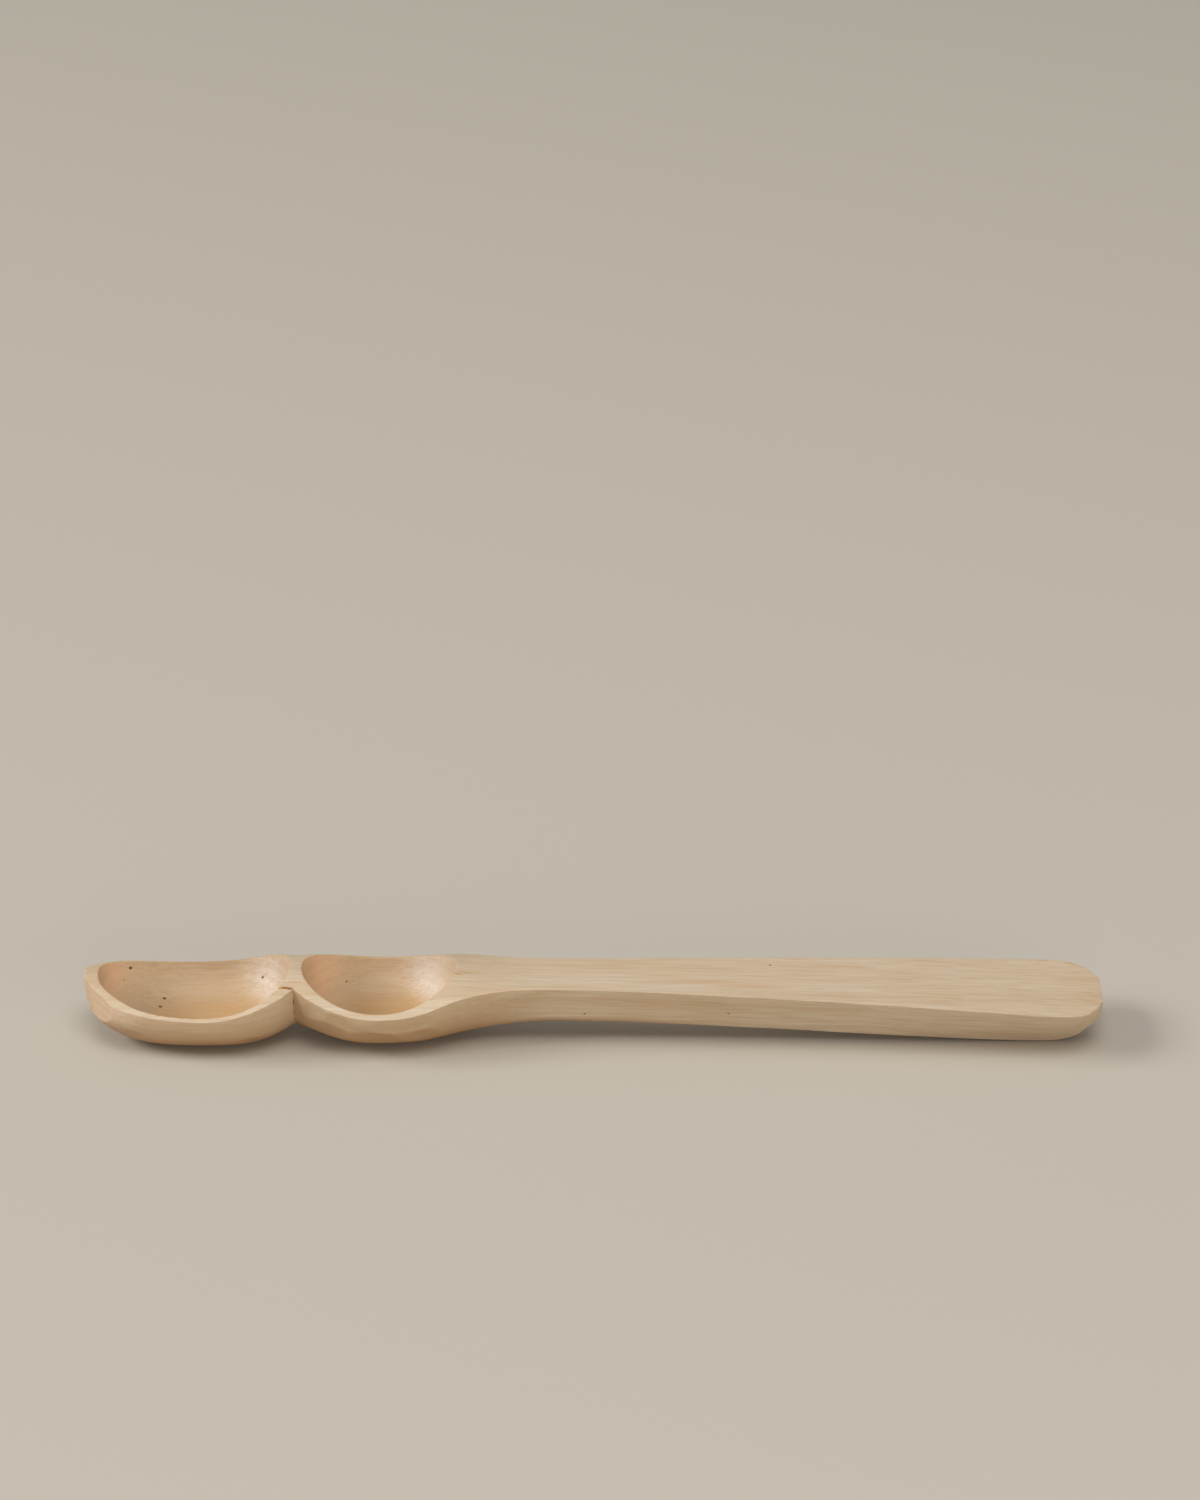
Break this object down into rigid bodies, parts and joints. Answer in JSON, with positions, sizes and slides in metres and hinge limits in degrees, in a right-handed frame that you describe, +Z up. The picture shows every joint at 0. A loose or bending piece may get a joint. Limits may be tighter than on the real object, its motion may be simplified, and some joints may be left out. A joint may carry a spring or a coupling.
{
  "type": "wooden spoon",
  "caption": "Hand-carved pale wooden spoon with two bowls in line, a sharp notch between them and a long handle that widens to a rounded paddle end.",
  "frame": {"origin": "middle of the spoon's box, on the surface that it lies on", "axes": "+X along the spoon from the tip of the front bowl to the end of the handle, +Z up out of the bowls"},
  "size_m": [0.22, 0.0304, 0.0165],
  "materials": {
    "wood": "pale close-grained wood, knife finished and sanded, bare or lightly oiled"
  },
  "bodies": {
    "root": {"front_bowl": "wood", "rear_bowl": "wood", "handle": "wood"}
  },
  "joints": []
}
